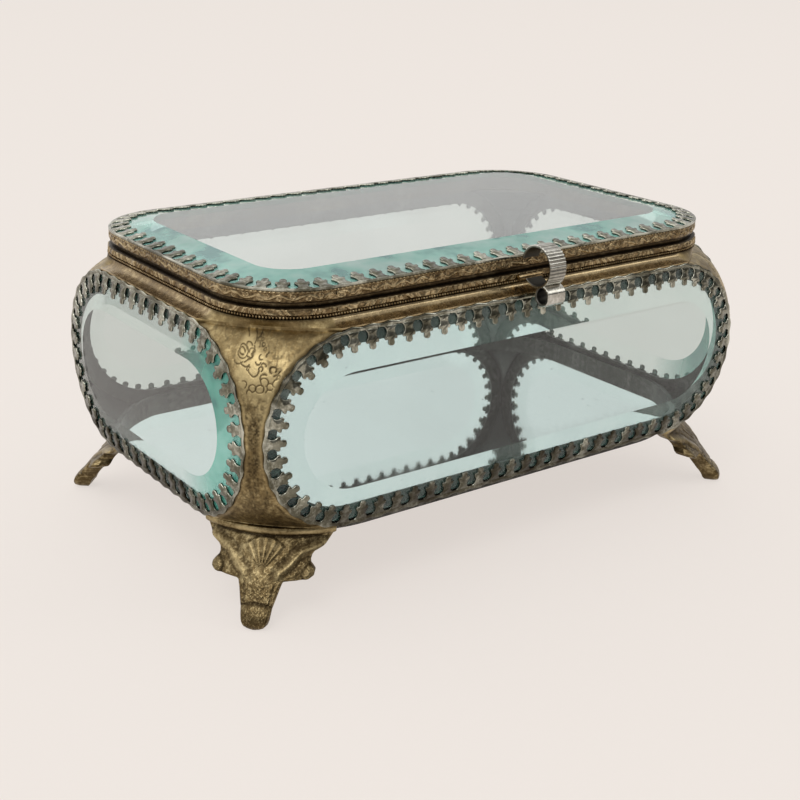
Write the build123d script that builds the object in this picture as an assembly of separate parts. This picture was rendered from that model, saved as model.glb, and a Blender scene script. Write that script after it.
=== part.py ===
from build123d import *
import os
from math import acos, asin, cos, degrees, pi, radians, sin, sqrt

# Jewelry casket of gilt brass and bevelled glass. A hinged glass lid with a spring clasp closes a case of
# four glass panels between stamped corner posts, with a mirror floor, on four cast feet.
# Millimetres, +Z up, front towards -Y, origin on the table under the middle of the whole casket.

# Lid in plan
LID_LENGTH = 140.0
LID_DEPTH = 83.6
LID_CORNER = 19.4

# Case and its heights
CASE_FLARE = 3.8  # the case faces stand this far outside the lid's outline
FOOT_HEIGHT = 19.0  # table to the lower edge of the panels
PANEL_HEIGHT = 44.5
NECK_HEIGHT = 1.9
NECK_LIP = 0.4
NECK_STEPS = 4
RIM_HEIGHT = 2.5
RIM_PROUD = 0.4  # the rim stands this far outside the lid's outline
RIM_WIDTH = 3.0
RIM_ROUND = 0.8
RIM_LIP = 1.2
LID_GAP = 0.8  # dark line between the rim and the lid
LID_BAND_HEIGHT = 2.6
LID_BAND_WALL = 1.2
LID_BAND_ROUND = 0.5
LID_LEDGE = 4.0

# Bevelled glass
GLASS_EDGE = 1.9  # thickness left at the edge, under the claws
BEVEL_SLOPE = 0.18  # rise of the bevel for each millimetre inward
LID_BEVEL = 9.5
PANEL_BEVEL = 8.0

# Panel frames and corner posts
CLAW_PROUD = 0.3  # the claw strip's outer edge stands this far outside the case face
FRAME_WALL = 0.8
FRAME_BACK = 0.6
FRAME_FLANGE = 3.2
POST_SHEET = 0.9
POST_BULGE = 0.3  # 0 is a flat plate across the corner, 1 a round corner
POST_REACH = 82.0  # degrees of the panels' round ends that a post follows, up and down from its waist
POST_SECTIONS = 13

# Claw strips
CLAW_SHEET = 0.5
CLAW_PITCH = 4.8
CLAW_LENGTH = 5.2
CLAW_TIP_WIDTH = 1.55
CLAW_TIP_LENGTH = 1.5
CLAW_SHOULDER_WIDTH = 3.2
CLAW_SHOULDER_HEIGHT = 0.6
CLAW_EDGE = 0.6  # solid edge outside the holes

# Floor
TRAY_CORNER = 28.0
TRAY_WALL = 1.2
TRAY_LEDGE = 3.5
TRAY_SHEET = 0.6
PLATE_SHEET = 0.6
MIRROR_SHEET = 1.8
TRAY_BELOW = 2.6  # the tray reaches this far below the panels
TRAY_ABOVE_MIRROR = 2.6

# Feet, set in along the diagonal from the line where two case faces would meet
FOOT_CURVE = 26.0  # radius in plan
FOOT_CAP_HEIGHT = 2.0
FOOT_CAP_HALF_WIDTH = 15.4
FOOT_CAP_BLANK = 8.0  # thickness before the tray's shape is cut out of its back
FOOT_LEG_THICKNESS = 4.4
FOOT_LEG = (  # share of the height below the cap, half width, distance in from that line
    (1.0, 14.0, 12.0),
    (0.77, 10.4, 9.0),
    (0.55, 5.2, 5.8),
    (0.3, 4.0, 2.3),
    (0.0, 3.1, -0.3),
)
FOOT_TOE_ROUND = 1.0
FOOT_EAR_RADIUS = 1.9
FOOT_EAR_REACH = 10.3
FOOT_EAR_HEIGHT = 10.3
FOOT_EAR_INSET = 10.4
FOOT_ARM_HEIGHT = 2.4
FOOT_ARM_INSET = 6.9
FOOT_ARM_THICKNESS = 3.4

# Hinge at the back
HINGE_LENGTH = 36.0
HINGE_KNUCKLES = 5
HINGE_KNUCKLE_RADIUS = 1.6
HINGE_PIN_RADIUS = 0.8
HINGE_LEAF_SHEET = 0.7
HINGE_LEAF_HEIGHT = 1.7
HINGE_OUT = 2.4  # axis outside the lid's back face
KNUCKLE_GAP = 0.15

# Clasp at the front
CLASP_OFFSET = 2.0  # to the right of the middle
CLASP_WIDTH = 4.8
CLASP_SHEET = 0.7
CLASP_LOOP_RADIUS = 4.65
CLASP_LOOP_START = 12.0  # degrees up from the lid's face
CLASP_ABOVE_LID_BOTTOM = 1.45
CLASP_TAB_HEIGHT = 1.8
CLASP_ROLL_RADIUS = 2.1
STUD_RADIUS = 0.9
STUD_LENGTH = 7.0

# Clearances
SEAT_PLAY = 0.1  # between pieces that are fixed to each other
GLASS_PLAY = 0.1  # round a glass edge and under the claws
LID_PLAY = 0.15  # between the closed lid and the rim's lip
PIN_PLAY = 0.05  # radial, in the knuckles
CLASP_PLAY = 0.3  # between the clasp and the case

# Depths of a panel behind the case face, and the corner gap that lets two panels meet
claw_seat = CLAW_PROUD - CLAW_SHEET
glass_inset = FRAME_WALL + SEAT_PLAY + GLASS_PLAY
panel_glass_back = claw_seat - GLASS_PLAY + glass_inset * BEVEL_SLOPE - GLASS_EDGE
frame_rear = panel_glass_back - GLASS_PLAY - FRAME_BACK
corner_gap = SEAT_PLAY - frame_rear
panel_radius = PANEL_HEIGHT / 2

# Case in plan
case_length = LID_LENGTH + 2 * CASE_FLARE
case_depth = LID_DEPTH + 2 * CASE_FLARE
case_corner = corner_gap + panel_radius * (1 - cos(radians(POST_REACH)))
tray_inset = SEAT_PLAY - frame_rear

# Heights from the table
panel_middle = FOOT_HEIGHT + panel_radius
neck_bottom = FOOT_HEIGHT + PANEL_HEIGHT + SEAT_PLAY
neck_top = neck_bottom + NECK_HEIGHT
rim_top = neck_top + RIM_HEIGHT
lid_bottom = rim_top + LID_GAP
lid_band_top = lid_bottom + LID_BAND_HEIGHT
lid_claw_seat = lid_band_top + SEAT_PLAY
lid_glass_bottom = lid_claw_seat - GLASS_PLAY + (LID_BAND_WALL + GLASS_PLAY) * BEVEL_SLOPE - GLASS_EDGE
tray_bottom = FOOT_HEIGHT - TRAY_BELOW
mirror_bottom = tray_bottom + TRAY_SHEET + PLATE_SHEET
tray_top = mirror_bottom + MIRROR_SHEET + TRAY_ABOVE_MIRROR

# Hinge axis, and the middle of the clasp's loop
hinge_y = LID_DEPTH / 2 + HINGE_OUT
hinge_z = (rim_top + lid_bottom) / 2
clasp_face_y = -LID_DEPTH / 2 - SEAT_PLAY
clasp_y = clasp_face_y - CLASP_SHEET / 2 - CLASP_LOOP_RADIUS
clasp_z = lid_bottom + CLASP_ABOVE_LID_BOTTOM
stud_face_y = -LID_DEPTH / 2 - RIM_PROUD - SEAT_PLAY
clasp_end_y = stud_face_y - STUD_RADIUS - CLASP_PLAY
clasp_loop_end = 360 - degrees(acos((clasp_end_y - clasp_y) / (CLASP_LOOP_RADIUS + CLASP_SHEET / 2)))
roll_inner_y = -case_depth / 2 - CLAW_PROUD - CLAW_LENGTH * BEVEL_SLOPE - CLASP_PLAY
roll_y = roll_inner_y - CLASP_ROLL_RADIUS - CLASP_SHEET / 2
roll_z = clasp_z - sqrt((CLASP_LOOP_RADIUS + CLASP_ROLL_RADIUS) ** 2 - (roll_y - clasp_y) ** 2)

# The casket is moved back by this much, so that the origin is under the middle of the whole
front_reach = max(CLASP_LOOP_RADIUS - clasp_y, CLASP_ROLL_RADIUS - roll_y) + CLASP_SHEET / 2
back_reach = case_depth / 2 + panel_glass_back + GLASS_EDGE + PANEL_BEVEL * BEVEL_SLOPE
centre_shift = (front_reach - back_reach) / 2


class Outline:
    """A rounded rectangle about the origin. Calling it with an offset gives the face of that offset."""

    def __init__(self, length, width, corner):
        self.straights = (length - 2 * corner, width - 2 * corner)
        self.corner = corner
        self.perimeter = 2 * sum(self.straights) + 2 * pi * corner

    def __call__(self, offset):
        radius = self.corner + offset
        length, width = (straight + 2 * radius for straight in self.straights)
        if self.straights[1] > 0:
            return RectangleRounded(length, width, radius)
        return SlotOverall(length, width)

    def place(self, distance):
        """The point this far along the outline, anticlockwise, with the heading and the way inwards."""
        distance %= self.perimeter
        quarter = self.corner * pi / 2
        corner = Vector(-self.straights[0] / 2, -self.straights[1] / 2)
        turn = 0
        for straight in self.straights * 2:
            heading = Vector(cos(turn), sin(turn))
            run = min(distance, straight)
            bend = min(distance - run, quarter) / self.corner
            corner += heading * run
            if distance <= straight + quarter:
                break
            distance -= straight + quarter
            turn += pi / 2
        turn += bend
        inwards = Vector(-sin(turn), cos(turn))
        return corner - inwards * self.corner, Vector(cos(turn), sin(turn)), inwards


def panel_outline(face_length):
    """The outline of a round-ended panel that fills a case face of this length between two posts."""
    return Outline(face_length - 2 * corner_gap, PANEL_HEIGHT, panel_radius)


lid_outline = Outline(LID_LENGTH, LID_DEPTH, LID_CORNER)
tray_outline = Outline(case_length - 2 * tray_inset, case_depth - 2 * tray_inset, TRAY_CORNER)


def slab(face, bottom, top):
    """A face made solid between two heights."""
    return Pos(0, 0, bottom) * extrude(face, top - bottom)


def ring(outline, outer, inner, bottom, top):
    """A band between two offsets of an outline."""
    return slab(outline(outer), bottom, top) - slab(outline(inner), bottom, top)


def taper(outline, outer, width, bottom):
    """A low pyramid that narrows by width at the slope of the bevels."""
    foot = Pos(0, 0, bottom) * outline(outer)
    crown = Pos(0, 0, bottom + width * BEVEL_SLOPE) * outline(outer - width)
    return loft([foot, crown], ruled=True)


def bevelled_glass(outline, inset, bevel, back):
    """A plate with a square edge and a wide flat bevel on its outer side."""
    edge = slab(outline(-inset), back, back + GLASS_EDGE)
    return edge + taper(outline, -inset, bevel, back + GLASS_EDGE)


def claw_cut(outline):
    """The face of a claw strip seen square on: a solid edge, round holes and shouldered claws."""
    count = round(outline.perimeter / CLAW_PITCH)
    half_tip = CLAW_TIP_WIDTH / 2
    half_shoulder = CLAW_SHOULDER_WIDTH / 2
    shoulder_end = CLAW_LENGTH - CLAW_TIP_LENGTH
    side = [
        (half_shoulder, shoulder_end - CLAW_SHOULDER_HEIGHT),
        (half_shoulder, shoulder_end),
        (half_tip, shoulder_end),
        (half_tip, CLAW_LENGTH - half_tip),
    ]

    def point(station, along, inward):
        place, heading, inwards = outline.place(station * outline.perimeter / count)
        return place + heading * along + inwards * inward

    edges = []
    for claw in range(count):
        left = [point(claw, -along, inward) for along, inward in side]
        right = [point(claw, along, inward) for along, inward in reversed(side)]
        following = point((claw + 1) % count, -side[0][0], side[0][1])
        edges += [Edge.make_line(a, b) for a, b in zip(left, left[1:])]
        edges.append(Edge.make_three_point_arc(left[-1], point(claw, 0, CLAW_LENGTH), right[0]))
        edges += [Edge.make_line(a, b) for a, b in zip(right, right[1:])]
        edges.append(Edge.make_three_point_arc(right[-1], point(claw + 0.5, 0, CLAW_EDGE), following))
    return Face(outline(0).wire(), [Wire(edges)])


def claw_strip(outline, seat):
    """A sheet that lies along the bevel's slope, pierced and cut into claws."""
    rise = CLAW_LENGTH * BEVEL_SLOPE
    top = seat + rise + CLAW_SHEET
    upper = slab(outline(0), seat, seat + CLAW_SHEET) + taper(outline, 0, CLAW_LENGTH, seat + CLAW_SHEET)
    lower = taper(outline, 0, CLAW_LENGTH, seat) + slab(outline(-CLAW_LENGTH), seat + rise, top)
    return (upper - lower) & slab(claw_cut(outline), seat, top)


def panel_frame(outline):
    """The channel round one glass panel: a wall, and a flange behind the glass."""
    inner = -SEAT_PLAY - FRAME_WALL
    wall = ring(outline, -SEAT_PLAY, inner, frame_rear, claw_seat - SEAT_PLAY)
    flange = ring(outline, inner, inner - FRAME_FLANGE, frame_rear, frame_rear + FRAME_BACK)
    return wall + flange


def panel_pieces(face_length):
    """Frame, glass and claw strip of one panel, lying flat with the case face at height zero."""
    outline = panel_outline(face_length)
    return {
        "panel_frame": panel_frame(outline),
        "glass": bevelled_glass(outline, glass_inset, PANEL_BEVEL, panel_glass_back),
        "claw_strip": claw_strip(outline, claw_seat),
    }


def arc_section(outer, thickness, half_span, forward, height):
    """A bent bar in plan: a piece of a ring about a point on local X, symmetric about local X."""
    angle = radians(half_span)

    def on(radius, turn):
        return Vector(forward + radius * cos(turn), radius * sin(turn), height)

    inner = outer - thickness
    edges = [
        Edge.make_three_point_arc(on(outer, -angle), on(outer, 0), on(outer, angle)),
        Edge.make_line(on(outer, angle), on(inner, angle)),
        Edge.make_three_point_arc(on(inner, angle), on(inner, 0), on(inner, -angle)),
        Edge.make_line(on(inner, -angle), on(outer, -angle)),
    ]
    return Face(Wire(edges, sequenced=True))


def corner_middle(reach, bulge):
    """How far inside both faces the middle of a corner lies, if the corner begins at this reach."""
    return reach * (0.5 - (sqrt(0.5) - 0.5) * bulge)


def post_section(reach, height):
    """A post at one height: a shallow arc across the corner, from the edge of one panel to the other."""
    half_x = case_length / 2
    half_y = case_depth / 2
    outer = corner_middle(reach, POST_BULGE)
    inner = outer + POST_SHEET / sqrt(2)
    depth = POST_SHEET * sqrt(2)

    def on(inset_x, inset_y):
        return Vector(half_x - inset_x, half_y - inset_y, height)

    edges = [
        Edge.make_three_point_arc(on(0, reach), on(outer, outer), on(reach, 0)),
        Edge.make_line(on(reach, 0), on(reach, depth)),
        Edge.make_three_point_arc(on(reach, depth), on(inner, inner), on(depth, reach)),
        Edge.make_line(on(depth, reach), on(0, reach)),
    ]
    return Face(Wire(edges, sequenced=True))


def corner_post():
    """The stamped plate at the +X +Y corner, whose sides follow the round ends of both panels."""
    sections = []
    for step in range(POST_SECTIONS):
        turn = radians(POST_REACH * (2 * step / (POST_SECTIONS - 1) - 1))
        reach = corner_gap + panel_radius * (1 - cos(turn))
        sections.append(post_section(reach, panel_middle + panel_radius * sin(turn)))
    return loft(sections)


def foot():
    """The cast foot at the +X +Y corner: cap bar, a plate that narrows to a leaning leg, and scroll ears."""
    top = FOOT_HEIGHT - SEAT_PLAY
    leg_top = top - FOOT_CAP_HEIGHT

    def section(thickness, half_width, inset, height):
        half_span = degrees(asin(half_width / FOOT_CURVE))
        return arc_section(FOOT_CURVE, thickness, half_span, -inset - FOOT_CURVE, height)

    leg = loft([section(FOOT_LEG_THICKNESS, half, inset, share * leg_top) for share, half, inset in FOOT_LEG])
    leg = fillet(leg.edges().group_by(Axis.Z)[0], FOOT_TOE_ROUND)
    arm_bottom = FOOT_EAR_HEIGHT - FOOT_ARM_HEIGHT / 2
    arms = section(FOOT_ARM_THICKNESS, FOOT_EAR_REACH, FOOT_ARM_INSET, arm_bottom)
    body = leg + extrude(arms, FOOT_ARM_HEIGHT)
    for side in (-1, 1):
        body += Pos(-FOOT_EAR_INSET, side * FOOT_EAR_REACH, FOOT_EAR_HEIGHT) * Sphere(FOOT_EAR_RADIUS)
    place = Pos(case_length / 2, case_depth / 2, 0) * Rot(0, 0, 45)
    cap = section(FOOT_CAP_BLANK, FOOT_CAP_HALF_WIDTH, FOOT_LEG[0][2], leg_top)
    body += extrude(cap, FOOT_CAP_HEIGHT)
    return place * body - slab(tray_outline(SEAT_PLAY), tray_bottom - SEAT_PLAY, top)


def neck_section(inward, reach, bulge, height):
    """The neck at one height: a rectangle whose corners are arcs that begin at this reach."""
    half_x = case_length / 2 - inward
    half_y = case_depth / 2 - inward
    middle = corner_middle(reach, bulge)
    arcs = []
    for x, y in ((1, 1), (-1, 1), (-1, -1), (1, -1)):
        insets = [(0, reach), (middle, middle), (reach, 0)]
        if x != y:
            insets.reverse()
        arcs.append([Vector(x * (half_x - across), y * (half_y - along), height) for across, along in insets])
    edges = []
    for arc, following in zip(arcs, arcs[1:] + arcs[:1]):
        edges.append(Edge.make_three_point_arc(*arc))
        edges.append(Edge.make_line(arc[2], following[0]))
    return Face(Wire(edges, sequenced=True))


def neck_cove():
    """A moulding from the case faces in to the rim, with a concave outer side along the panels."""
    base = extrude(neck_section(0, case_corner, POST_BULGE, neck_bottom), NECK_LIP)
    sections = []
    for step in range(NECK_STEPS):
        turn = radians(90 * step / (NECK_STEPS - 1))
        share = sin(turn)
        height = neck_bottom + NECK_LIP + (NECK_HEIGHT - NECK_LIP) * (1 - cos(turn))
        reach = case_corner + (LID_CORNER + RIM_PROUD - case_corner) * share
        bulge = POST_BULGE + (1 - POST_BULGE) * share
        sections.append(neck_section((CASE_FLARE - RIM_PROUD) * share, reach, bulge, height))
    return base + loft(sections, ruled=True) - slab(lid_outline(RIM_PROUD - RIM_WIDTH), neck_bottom, neck_top)


def upper_rim():
    """The embossed band below the lid, with a lip inside that closes the gap."""
    inner = RIM_PROUD - RIM_WIDTH
    band = slab(lid_outline(RIM_PROUD), neck_top, rim_top)
    band = fillet(band.edges().filter_by(Plane.XY), RIM_ROUND)
    lip_top = lid_bottom - LID_PLAY
    lip = slab(lid_outline(inner + RIM_LIP), rim_top, lip_top)
    return band + lip - slab(lid_outline(inner), neck_top, lip_top)


def lid_rim():
    """The embossed band of the lid, with a ledge under the glass."""
    band = slab(lid_outline(0), lid_bottom, lid_band_top)
    band = fillet(band.edges().group_by(Axis.Z)[0], LID_BAND_ROUND)
    ledge_top = lid_glass_bottom - GLASS_PLAY
    well = slab(lid_outline(-LID_BAND_WALL), ledge_top, lid_band_top)
    window = slab(lid_outline(-LID_BAND_WALL - LID_LEDGE), lid_bottom, lid_band_top)
    return band - well - window


def bottom_frame():
    """The tray behind the panels: a wall, and a ledge that carries the floor."""
    wall = ring(tray_outline, 0, -TRAY_WALL, tray_bottom, tray_top)
    ledge_inner = -TRAY_WALL - TRAY_LEDGE
    return wall + ring(tray_outline, -TRAY_WALL, ledge_inner, tray_bottom, tray_bottom + TRAY_SHEET)


def floor_sheet(bottom, thickness):
    """A sheet that lies inside the tray."""
    return slab(tray_outline(-TRAY_WALL - GLASS_PLAY), bottom, bottom + thickness)


def hinge_leaf(first_knuckle, face_y, plate_middle, web_side):
    """One half of the hinge: a plate on a band, with every second knuckle and a web to each of them."""
    pitch = HINGE_LENGTH / HINGE_KNUCKLES
    plate_y = face_y + SEAT_PLAY + HINGE_LEAF_SHEET / 2
    leaf = Pos(0, plate_y, plate_middle) * Box(HINGE_LENGTH, HINGE_LEAF_SHEET, HINGE_LEAF_HEIGHT)
    web_depth = hinge_y - plate_y
    web_height = abs(plate_middle - hinge_z)
    bores = []
    for knuckle in range(first_knuckle, HINGE_KNUCKLES, 2):
        x = (knuckle + 0.5) * pitch - HINGE_LENGTH / 2
        length = pitch - KNUCKLE_GAP
        barrel = Rot(0, 90, 0) * Cylinder(HINGE_KNUCKLE_RADIUS, length)
        leaf += Pos(x, hinge_y, hinge_z) * barrel
        web = Box(length, web_depth, min(web_height, HINGE_KNUCKLE_RADIUS))
        web_z = hinge_z + web_side * min(web_height, HINGE_KNUCKLE_RADIUS) / 2
        leaf += Pos(x, plate_y + web_depth / 2, web_z) * web
        bores.append(Pos(x, hinge_y, hinge_z) * Rot(0, 90, 0) * Cylinder(HINGE_PIN_RADIUS + PIN_PLAY, pitch))
    return leaf - bores


def clasp_strap():
    """The spring clasp: a tab on the lid's face, an open loop, and a rolled tip below it."""
    def on_loop(turn):
        angle = radians(turn)
        return (clasp_y + CLASP_LOOP_RADIUS * cos(angle), clasp_z + CLASP_LOOP_RADIUS * sin(angle))

    middle_turn = (CLASP_LOOP_START + clasp_loop_end) / 2
    loop = ThreePointArc(on_loop(CLASP_LOOP_START), on_loop(middle_turn), on_loop(clasp_loop_end))
    profile = trace(loop, CLASP_SHEET)
    tab_y = clasp_face_y - CLASP_SHEET / 2
    profile += Pos(tab_y, lid_band_top - CLASP_TAB_HEIGHT / 2) * Rectangle(CLASP_SHEET, CLASP_TAB_HEIGHT)
    roll = Circle(CLASP_ROLL_RADIUS + CLASP_SHEET / 2) - Circle(CLASP_ROLL_RADIUS - CLASP_SHEET / 2)
    profile += Pos(roll_y, roll_z) * roll
    across = Plane(origin=(CLASP_OFFSET - CLASP_WIDTH / 2, 0, 0), x_dir=(0, 1, 0), z_dir=(1, 0, 0))
    return extrude(across * profile, CLASP_WIDTH)


def catch_stud():
    """A half-round bar on the front of the rim, just behind the clasp's lower end."""
    bar = Rot(0, 90, 0) * Cylinder(STUD_RADIUS, STUD_LENGTH)
    bar = Pos(CLASP_OFFSET, stud_face_y, neck_top + RIM_HEIGHT / 2) * bar
    return split(bar, Plane(origin=(0, stud_face_y, 0), z_dir=(0, -1, 0)), keep=Keep.TOP)


def build():
    """Every piece by name, about the middle of the case."""
    half_x = case_length / 2
    half_y = case_depth / 2
    long_panel = panel_pieces(case_length)
    short_panel = panel_pieces(case_depth)
    panels = {
        "front": (long_panel, Plane((0, -half_y, panel_middle), x_dir=(1, 0, 0), z_dir=(0, -1, 0))),
        "back": (long_panel, Plane((0, half_y, panel_middle), x_dir=(-1, 0, 0), z_dir=(0, 1, 0))),
        "left": (short_panel, Plane((-half_x, 0, panel_middle), x_dir=(0, -1, 0), z_dir=(-1, 0, 0))),
        "right": (short_panel, Plane((half_x, 0, panel_middle), x_dir=(0, 1, 0), z_dir=(1, 0, 0))),
    }
    pieces = {
        "lid_rim": lid_rim(),
        "lid_glass": bevelled_glass(lid_outline, LID_BAND_WALL + GLASS_PLAY, LID_BEVEL, lid_glass_bottom),
        "lid_claw_strip": claw_strip(lid_outline, lid_claw_seat),
        "upper_rim": upper_rim(),
        "neck_cove": neck_cove(),
        "bottom_frame": bottom_frame(),
        "bottom_plate": floor_sheet(tray_bottom + TRAY_SHEET, PLATE_SHEET),
        "bottom_mirror": floor_sheet(mirror_bottom, MIRROR_SHEET),
    }
    for side, (panel, place) in panels.items():
        for name, solid in panel.items():
            pieces[f"{side}_{name}"] = place * solid
    post = corner_post()
    cast_foot = foot()
    for across, flip_x in (("right", False), ("left", True)):
        for along, flip_y in (("back", False), ("front", True)):
            for name, solid in (("corner_post", post), ("foot", cast_foot)):
                solid = mirror(solid, Plane.YZ) if flip_x else solid
                pieces[f"{name}_{along}_{across}"] = mirror(solid, Plane.XZ) if flip_y else solid
    leaf_low = neck_top + HINGE_LEAF_HEIGHT / 2 - SEAT_PLAY
    leaf_high = lid_band_top - HINGE_LEAF_HEIGHT / 2
    pieces["hinge_leaf_case"] = hinge_leaf(0, LID_DEPTH / 2 + RIM_PROUD, leaf_low, -1)
    pieces["hinge_leaf_lid"] = hinge_leaf(1, LID_DEPTH / 2, leaf_high, 1)
    pieces["hinge_pin"] = Pos(0, hinge_y, hinge_z) * Rot(0, 90, 0) * Cylinder(HINGE_PIN_RADIUS, HINGE_LENGTH)
    pieces["clasp_strap"] = clasp_strap()
    pieces["catch_stud"] = catch_stud()
    return {name: Pos(0, centre_shift, 0) * solid for name, solid in pieces.items()}


def main():
    os.makedirs("parts", exist_ok=True)
    for name, solid in build().items():
        export_step(solid, f"parts/{name}.step")


if __name__ == "__main__":
    main()
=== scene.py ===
from math import asin, atan, cos, pi, radians, sin, sqrt

import bpy
import numpy as np
from mathutils import Matrix, Vector


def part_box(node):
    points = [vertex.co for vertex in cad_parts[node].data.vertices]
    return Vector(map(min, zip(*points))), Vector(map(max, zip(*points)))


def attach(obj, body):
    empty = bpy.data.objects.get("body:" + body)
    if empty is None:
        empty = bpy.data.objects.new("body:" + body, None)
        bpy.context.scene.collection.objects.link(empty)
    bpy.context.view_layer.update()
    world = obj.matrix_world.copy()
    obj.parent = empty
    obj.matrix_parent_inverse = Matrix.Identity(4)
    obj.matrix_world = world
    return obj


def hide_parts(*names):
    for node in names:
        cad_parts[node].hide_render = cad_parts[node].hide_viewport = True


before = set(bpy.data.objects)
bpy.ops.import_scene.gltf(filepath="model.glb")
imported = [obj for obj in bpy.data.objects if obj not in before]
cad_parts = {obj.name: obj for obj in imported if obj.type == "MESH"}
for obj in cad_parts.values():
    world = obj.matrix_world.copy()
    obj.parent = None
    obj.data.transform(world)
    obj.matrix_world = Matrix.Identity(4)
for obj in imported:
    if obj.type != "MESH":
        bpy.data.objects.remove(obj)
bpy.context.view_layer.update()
bpy.ops.object.select_all(action="DESELECT")

# Jewelry casket: gilt brass mounts, silvered claw strips and bevelled glass round a mirror floor.
# Metres, front towards -Y. Places come from the frame. Ornament, finish and view are written here.
MM = 0.001
SMOOTH_ANGLE = radians(40)
GRAIN_TABLE = 97

# View
CAMERA_PLACE = Vector((-199.6, -257.63, 146.42)) * MM
CAMERA_YAW = 0.62
CAMERA_PITCH = 0.36
CAMERA_ROLL = 0.02
CAMERA_LENS = 59.7
CAMERA_SHIFT = 0.047
PAPER = (0.80, 0.748, 0.70)
PAPER_SEEN = (0.886, 0.823, 0.776)
PAPER_FLAT = 0.75  # share of the floor's own shadows and shading that is evened out to the eye
FLOOR_SIZE = 30.0
SURROUND = (1.0, 0.985, 0.965)
SURROUND_LEVEL = 0.58
SURROUND_GROWTH = (0.5, 0.4, 0.22)  # to the back, the top and the left
SURROUND_LIMITS = (0.22, 1.3)
LAMPS = {  # place, size and power
    "key": ((-1.3, -0.9, 2.2), (1.2, 1.2), 14.0),
    "fill": ((1.4, -1.0, 1.2), (0.9, 0.6), 4.0),
}
LAMP_AIM = Vector((0, 0, 0.04))

# Rims
LID_CORNER = 19.4 * MM
LID_WALL = 1.2 * MM
LID_LEDGE = 4.0 * MM
LID_LEDGE_HEIGHT = 0.83 * MM
RIM_HEIGHT = 2.5 * MM
RIM_WIDTH = 3.0 * MM
RIM_LIP = 1.2 * MM
RIM_STEP = 0.2 * MM
RIM_RISE = np.linspace(0, 1, 20)  # rows of a rim's outer side, as shares of its height
NECK_LIP = 0.4 * MM
VINE_PITCH = 5.2 * MM
VINE_LEVEL = 1.3 * MM
VINE_RELIEF = 0.24 * MM
ROPE_PITCH = 1.0 * MM
ROPE_LEVEL = 2.35 * MM
LEAF_PITCH = 2.4 * MM
LEAF_RELIEF = 0.32 * MM
PEARL_PITCH = 0.72 * MM
PEARL_RADIUS = 0.3 * MM
PEARL_LEVEL = 0.45 * MM
PEARL_SUNK = 0.2 * MM
INNER_SHADE = 0.65  # painted shade on the inner sides of the rims and the cove

# Claw strips
STRIP_STEP = 0.8 * MM
BEVEL_SLOPE = 0.18
CLAW_SHEET = 0.5 * MM
CLAW_PITCH = 4.8 * MM
CLAW_LENGTH = 5.2 * MM
CLAW_EDGE = 0.7 * MM
CLAW_HOLE = 1.36 * MM
CLAW_HOLE_MIDDLE = 2.0 * MM
CLAW_CROWN = [(1.62, 3.5), (1.42, 3.78), (0.86, 3.72), (0.72, 4.0), (0.80, 4.55), (0.62, 4.98)]
CLAW_ROUND = 0.14 * MM
# share of painted shade on the claws low on the panels
CLAW_LOW_SHADE = 0.55
PANEL_SCALLOP = 0.4 * MM

# Glass
LID_BEVEL = 9.5 * MM
PANEL_BEVEL = 8.0 * MM
BEVEL_ANGLE = radians(5)
# where the painted refraction green starts on a side panel, and how fast it rises towards the front end
END_GREEN_START = 16.0 * MM
END_GREEN_RISE = 60.0

# Posts
POST_SHEET = 0.9 * MM
POST_REACH = radians(82)
POST_BULGE = 0.3
POST_COLUMNS = 170
POST_LOWER_ROWS = 90
POST_UPPER_ROWS = 200
POST_FLARE = 1.2 * MM
POST_BACK_COLUMNS = 14
POST_SEED = 10
# height of the painted shade round the post's waist
POST_SHADE_HEIGHT = 44.0 * MM
# height of the painted highlight along the post's rolled edge
POST_SHEEN_HEIGHT = 48.0 * MM
CORNER_STATIONS = 60
STRAIGHT_STATIONS = 80

# Feet, whose outline and relief are drawn in millimetres
FOOT_CURVE = 26.0 * MM
FOOT_EDGE = 0.9
FOOT_CAP = 18.0
FOOT_GROOVE = 16.75
FOOT_FAN = 10.6
FOOT_COLUMNS = 170
FOOT_ROWS = 210
FOOT_BACK_COLUMNS = 24
FOOT_SEED = 20
FOOT_SMOOTHING = 6
SCROLL_STATIONS = 90

# Clasp
CLASP_SHEET = 0.7 * MM
CLASP_LOOP_RADIUS = 4.65 * MM
CLASP_LIP_RADIUS = 2.1 * MM
CLASP_RIB_PITCH = 0.85 * MM
CLASP_RIB_DEPTH = 0.13 * MM
CLASP_EDGE = 0.16 * MM
CLASP_LOOP_ANGLES = (14, 311)
CLASP_LOOP_STATIONS = 420
CLASP_LIP_TURN = radians(325)
CLASP_LIP_FLARE = 0.5 * MM
CLASP_LIP_STATIONS = 90


def box(node):
    """The two corners of a node as arrays."""
    low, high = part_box(node)
    return np.array(low), np.array(high)


lid_low, lid_high = box("lid_rim")
rim_low, rim_high = box("upper_rim")
neck_low, neck_high = box("neck_cove")
post_high = box("corner_post_back_right")[1]
foot_top = box("foot_back_right")[1][2]
panel_low, panel_high = box("front_claw_strip")
side_low, side_high = box("right_claw_strip")
lid_claw_seat = box("lid_claw_strip")[0][2]
clasp_low, clasp_high = box("clasp_strap")

middle_y = (lid_low[1] + lid_high[1]) / 2
lid_half = (lid_high - lid_low)[:2] / 2
rim_half = (rim_high - rim_low)[:2] / 2
rim_corner = LID_CORNER + rim_half[0] - lid_half[0]
case_half = np.array([post_high[0], post_high[1] - middle_y])
panel_radius = (panel_high[2] - panel_low[2]) / 2
panel_middle = (panel_high[2] + panel_low[2]) / 2
corner_gap = case_half[0] - panel_high[0]
case_corner = corner_gap + panel_radius * (1 - cos(POST_REACH))
rim_inset = case_half[0] - rim_half[0]
claw_proud = -case_half[1] + middle_y - panel_high[1] + CLAW_SHEET


# Modelling helpers

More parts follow.
